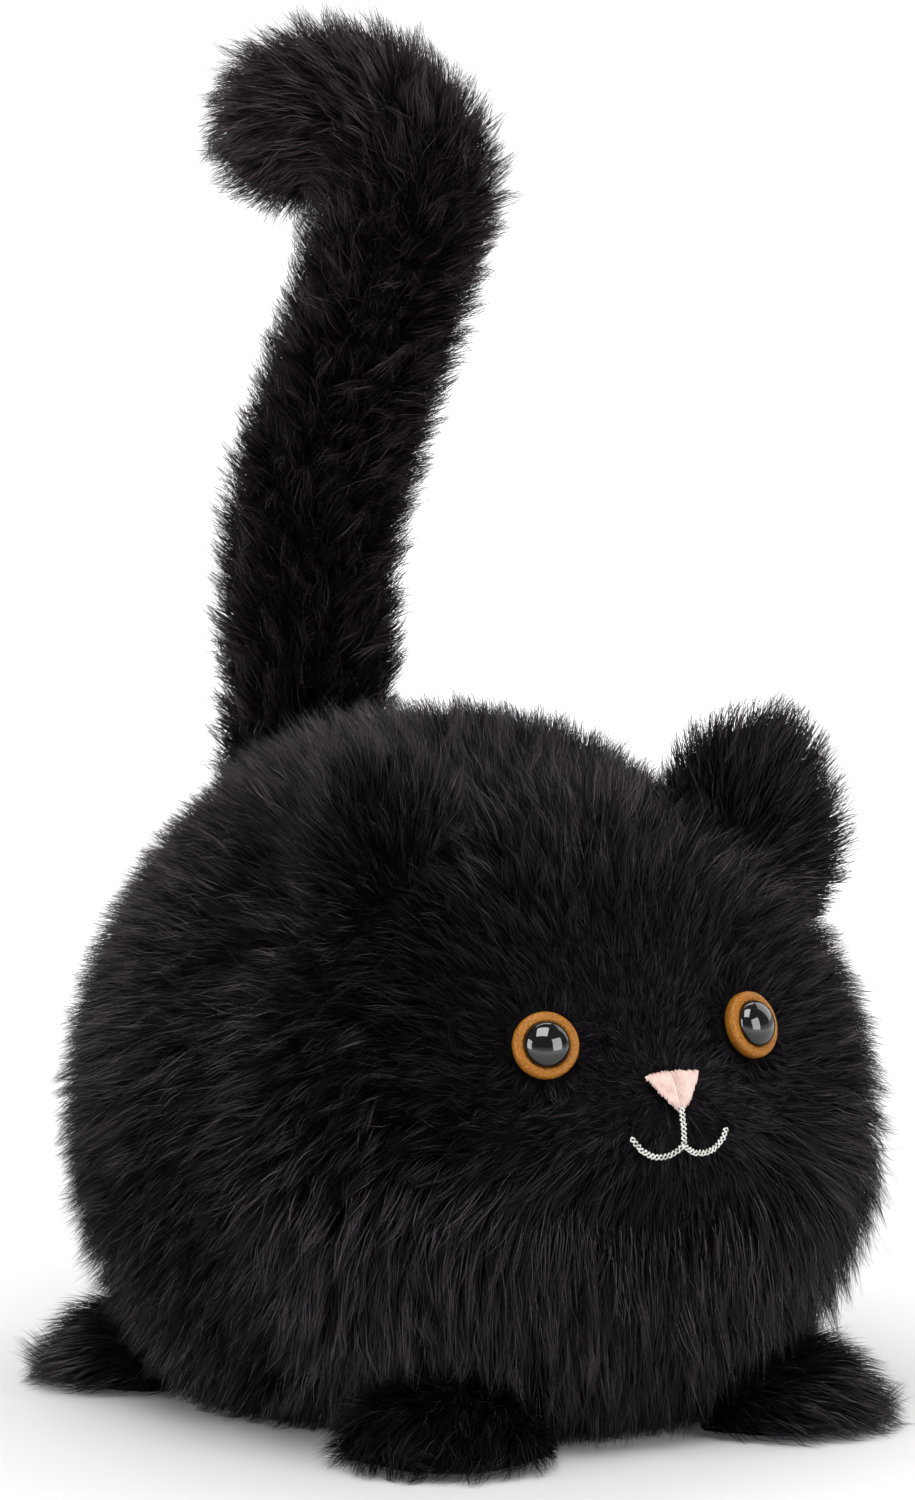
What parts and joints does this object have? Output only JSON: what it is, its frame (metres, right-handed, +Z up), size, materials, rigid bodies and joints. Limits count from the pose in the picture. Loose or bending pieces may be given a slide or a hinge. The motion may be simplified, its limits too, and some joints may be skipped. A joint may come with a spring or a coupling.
{
  "type": "plush cat",
  "caption": "Round long-pile plush cat, bead-weighted to sit flat, with flexible ears and paws and an upright hooked tail.",
  "frame": {"origin": "middle of the flat of the belly, on the surface that the cat sits on", "axes": "+Z up, -Y the way the cat looks, +X to the cat's left"},
  "size_m": [0.082, 0.0994, 0.16],
  "materials": {
    "long_fur": "matte",
    "face_fur": "matte",
    "eye_iris": "gloss",
    "eye_pupil": "gloss",
    "eye_washer": "matte",
    "nose_thread": "satin",
    "mouth_thread": "satin",
    "fibre_filling": "matte",
    "pouch_cloth": "matte",
    "filling_beads": "matte"
  },
  "bodies": {
    "body": {"belly_panel": "long_fur", "chest_panel": "long_fur", "face_panel": "face_fur", "side_panel_left": "long_fur", "side_panel_right": "long_fur", "body_filling": "fibre_filling", "bead_pouch": "pouch_cloth", "beads": "filling_beads", "eye_left_iris": "eye_iris", "eye_left_pupil": "eye_pupil", "eye_left_washer": "eye_washer", "eye_right_iris": "eye_iris", "eye_right_pupil": "eye_pupil", "eye_right_washer": "eye_washer", "nose_stitching": "nose_thread", "mouth_stitching": "mouth_thread"},
    "tail_lower": {"tail_lower_panel_left": "long_fur", "tail_lower_panel_right": "long_fur", "tail_lower_filling": "fibre_filling"},
    "tail_upper": {"tail_upper_panel_left": "long_fur", "tail_upper_panel_right": "long_fur", "tail_upper_filling": "fibre_filling"},
    "ear_left": {"ear_left_front": "long_fur", "ear_left_back": "long_fur"},
    "ear_right": {"ear_right_front": "long_fur", "ear_right_back": "long_fur"},
    "paw_front_left": {"paw_front_left_upper": "long_fur", "paw_front_left_sole": "long_fur", "paw_front_left_filling": "fibre_filling"},
    "paw_front_right": {"paw_front_right_upper": "long_fur", "paw_front_right_sole": "long_fur", "paw_front_right_filling": "fibre_filling"},
    "paw_rear_left": {"paw_rear_left_upper": "long_fur", "paw_rear_left_sole": "long_fur", "paw_rear_left_filling": "fibre_filling"},
    "paw_rear_right": {"paw_rear_right_upper": "long_fur", "paw_rear_right_sole": "long_fur", "paw_rear_right_filling": "fibre_filling"}
  },
  "joints": [
    {"name": "tail_tilt", "type": "hinge", "parent": "body", "child": "tail_lower", "pos_m": [0, 0.0405, 0.064], "axis": [1, 0, 0], "range_deg": [-20, 20], "stiffness_Nm_per_rad": 0.08},
    {"name": "tail_bend", "type": "hinge", "parent": "tail_lower", "child": "tail_upper", "pos_m": [0, 0.0405, 0.092], "axis": [0.8, 0.6, 0], "range_deg": [-25, 25], "stiffness_Nm_per_rad": 0.06},
    {"name": "ear_left_fold", "type": "hinge", "parent": "body", "child": "ear_left", "pos_m": [0.023, -0.022, 0.0656], "axis": [0.8011, -0.1602, -0.5768], "range_deg": [-25, 25], "stiffness_Nm_per_rad": 0.004},
    {"name": "ear_right_fold", "type": "hinge", "parent": "body", "child": "ear_right", "pos_m": [-0.023, -0.022, 0.0656], "axis": [0.8011, 0.1602, 0.5768], "range_deg": [-25, 25], "stiffness_Nm_per_rad": 0.004},
    {"name": "paw_front_left_lift", "type": "hinge", "parent": "body", "child": "paw_front_left", "pos_m": [0.01794, -0.02891, 0.008], "axis": [-0.6606, -0.7507, 0], "range_deg": [0, 12], "stiffness_Nm_per_rad": 0.01},
    {"name": "paw_front_right_lift", "type": "hinge", "parent": "body", "child": "paw_front_right", "pos_m": [-0.01794, -0.02891, 0.008], "axis": [-0.6606, 0.7507, 0], "range_deg": [0, 12], "stiffness_Nm_per_rad": 0.01},
    {"name": "paw_rear_left_lift", "type": "hinge", "parent": "body", "child": "paw_rear_left", "pos_m": [0.02728, 0.02711, 0.008], "axis": [0.5708, -0.8211, 0], "range_deg": [0, 12], "stiffness_Nm_per_rad": 0.01},
    {"name": "paw_rear_right_lift", "type": "hinge", "parent": "body", "child": "paw_rear_right", "pos_m": [-0.02728, 0.02711, 0.008], "axis": [0.5708, 0.8211, 0], "range_deg": [0, 12], "stiffness_Nm_per_rad": 0.01}
  ]
}
